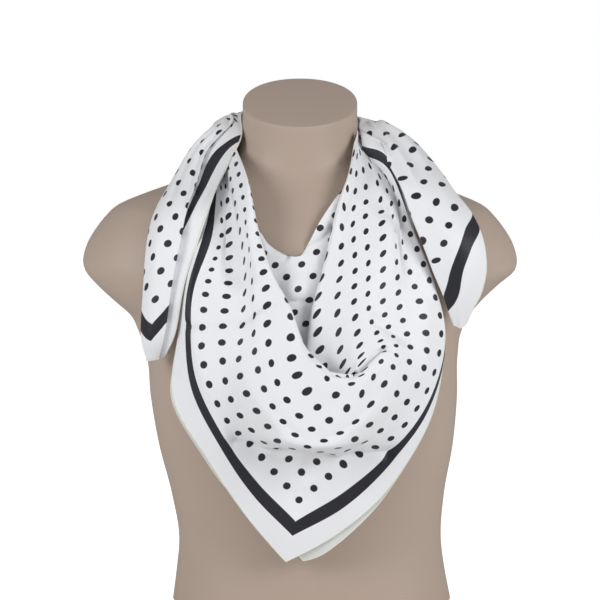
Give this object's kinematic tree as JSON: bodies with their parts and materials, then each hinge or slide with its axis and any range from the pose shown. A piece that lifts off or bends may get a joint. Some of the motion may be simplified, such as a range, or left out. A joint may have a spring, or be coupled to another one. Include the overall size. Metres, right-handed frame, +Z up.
{
  "type": "silk square scarf on dress form",
  "caption": "Square silk scarf folded corner to corner and draped as a cowl with crossed ends, on a limbless dress form with a flat base.",
  "frame": {"origin": "on the flat base of the dress form, below the middle of its shoulders", "axes": "+Z up along the form, -Y towards the front where the scarf's corner hangs, +X towards the right as seen from the front"},
  "size_m": [0.4006, 0.2549, 0.4859],
  "materials": {
    "form": "smooth satin, taupe",
    "silk": "silk twill, white with small near-black dots and a black border stripe"
  },
  "bodies": {
    "root": {"dress_form": "form", "neckline_cowl": "silk", "front_drape": "silk", "under_ply": "silk", "wrap_to_left_end": "silk", "wrap_to_right_end": "silk"}
  },
  "joints": []
}
